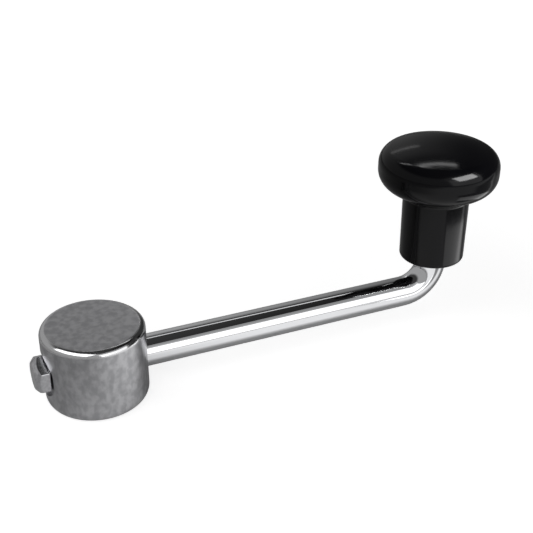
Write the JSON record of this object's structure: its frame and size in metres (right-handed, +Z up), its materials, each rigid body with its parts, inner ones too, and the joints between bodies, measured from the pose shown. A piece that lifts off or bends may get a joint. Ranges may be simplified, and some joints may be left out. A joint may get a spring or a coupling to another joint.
{
  "type": "crank handle",
  "caption": "Hand crank: a round hub with a blind shaft bore, a bent round bar and a black mushroom knob that spins freely on the bar's upturned end.",
  "frame": {"origin": "centre of the hub's flat underside, on the axis of the shaft bore", "axes": "+Z up the shaft bore and towards the top of the knob, +X from the hub along the arm to the knob, +Y completes a right-handed frame"},
  "size_m": [0.1863, 0.0466, 0.0772],
  "materials": {
    "hub_steel": "satin turned steel",
    "bar_chrome": "polished chrome plate on round bar",
    "screw_steel": "bright plated screw",
    "knob_black": "glossy moulded phenolic",
    "sleeve_steel": "plain turned steel",
    "spring_steel": "oiled spring steel"
  },
  "bodies": {
    "crank": {"hub": "hub_steel", "crank_arm": "bar_chrome", "set_screw": "screw_steel", "retaining_ring": "spring_steel"},
    "revolving_knob": {"knob": "knob_black", "knob_sleeve": "sleeve_steel"}
  },
  "joints": [
    {"name": "knob_spin", "type": "hinge", "parent": "crank", "child": "revolving_knob", "pos_m": [0.14, 0, 0.0285], "axis": [0, 0, 1], "continuous": true}
  ]
}
